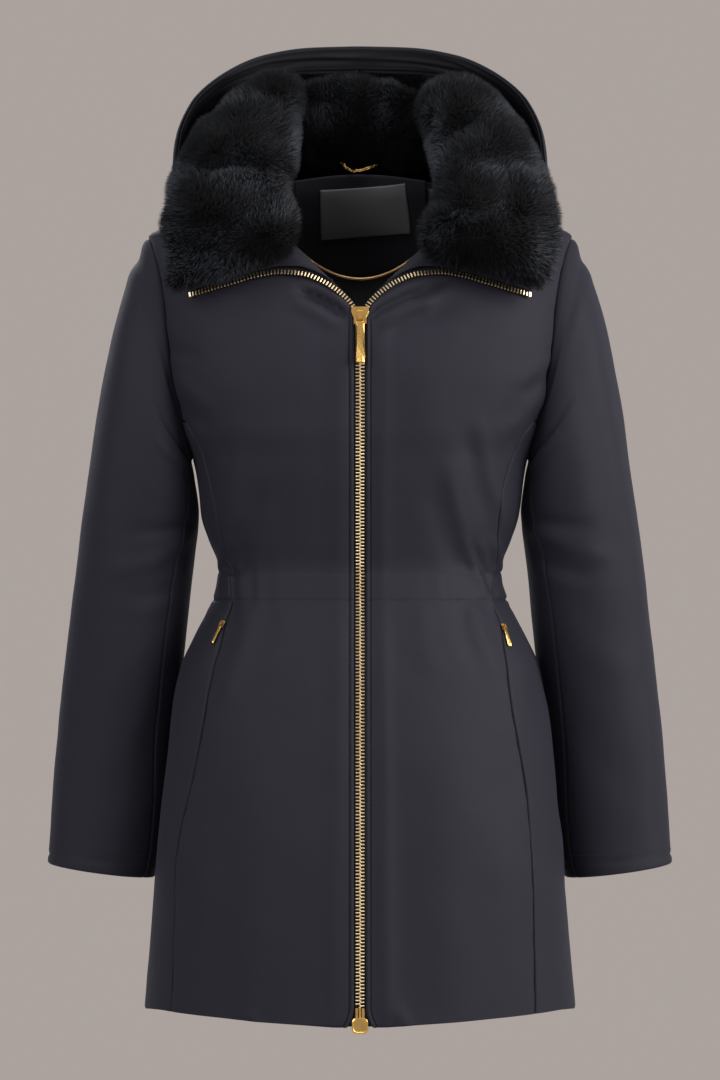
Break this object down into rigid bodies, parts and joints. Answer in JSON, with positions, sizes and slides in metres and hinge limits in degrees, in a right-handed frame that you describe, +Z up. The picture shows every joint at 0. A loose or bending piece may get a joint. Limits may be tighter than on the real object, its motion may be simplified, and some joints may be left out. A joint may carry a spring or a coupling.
{
  "type": "fur trimmed parka",
  "caption": "Hip-length waisted parka with a fur-lined hood lying open, a full-length front zip and two zipped seam pockets.",
  "frame": {"origin": "midway between the wearer's shoulders, at the level where the coat rests on them", "axes": "+Z up, -Y the way the front faces, +X the wearer's left"},
  "size_m": [0.63, 0.3201, 0.9807],
  "materials": {
    "shell_cloth": "matt, fine twill",
    "black_fur": "short dense pile",
    "gold_metal": "polished gold plate",
    "lining_cloth": "smooth",
    "label_satin": "satin",
    "copper_piping": "metallic",
    "zip_ribbon": "ribbed"
  },
  "bodies": {
    "coat": {"back": "shell_cloth", "back_neck_facing": "lining_cloth", "front_centre_left": "shell_cloth", "front_centre_right": "shell_cloth", "front_side_left": "shell_cloth", "front_side_right": "shell_cloth", "fur_back": "black_fur", "fur_hood": "black_fur", "fur_left": "black_fur", "fur_right": "black_fur", "hanger_chain": "gold_metal", "hood_brim": "shell_cloth", "hood_left": "shell_cloth", "hood_right": "shell_cloth", "lapel_left": "shell_cloth", "lapel_right": "shell_cloth", "neck_label": "label_satin", "neck_piping": "copper_piping", "pocket_slider_left": "gold_metal", "pocket_slider_right": "gold_metal", "sleeve_top_left": "shell_cloth", "sleeve_top_right": "shell_cloth", "sleeve_under_left": "shell_cloth", "sleeve_under_right": "shell_cloth", "zip_box": "gold_metal", "zip_slider": "gold_metal", "zip_tape_left": "zip_ribbon", "zip_tape_right": "zip_ribbon", "zip_teeth_left": "gold_metal", "zip_teeth_right": "gold_metal"},
    "zip_pull": {"zip_pull": "gold_metal"},
    "pocket_pull_left": {"pocket_pull_left": "gold_metal"},
    "pocket_pull_right": {"pocket_pull_right": "gold_metal"}
  },
  "joints": [
    {"name": "zip_pull_hinge", "type": "hinge", "parent": "coat", "child": "zip_pull", "pos_m": [0, -0.12109, -0.09798], "axis": [-1, 0, 0], "range_deg": [0, 160]},
    {"name": "pocket_pull_left_hinge", "type": "hinge", "parent": "coat", "child": "pocket_pull_left", "pos_m": [0.14201, -0.06473, -0.39986], "axis": [-0.6969, -0.7143, 0.0642], "range_deg": [0, 150]},
    {"name": "pocket_pull_right_hinge", "type": "hinge", "parent": "coat", "child": "pocket_pull_right", "pos_m": [-0.13594, -0.06962, -0.39687], "axis": [-0.6264, 0.7551, 0.1936], "range_deg": [0, 150]}
  ]
}
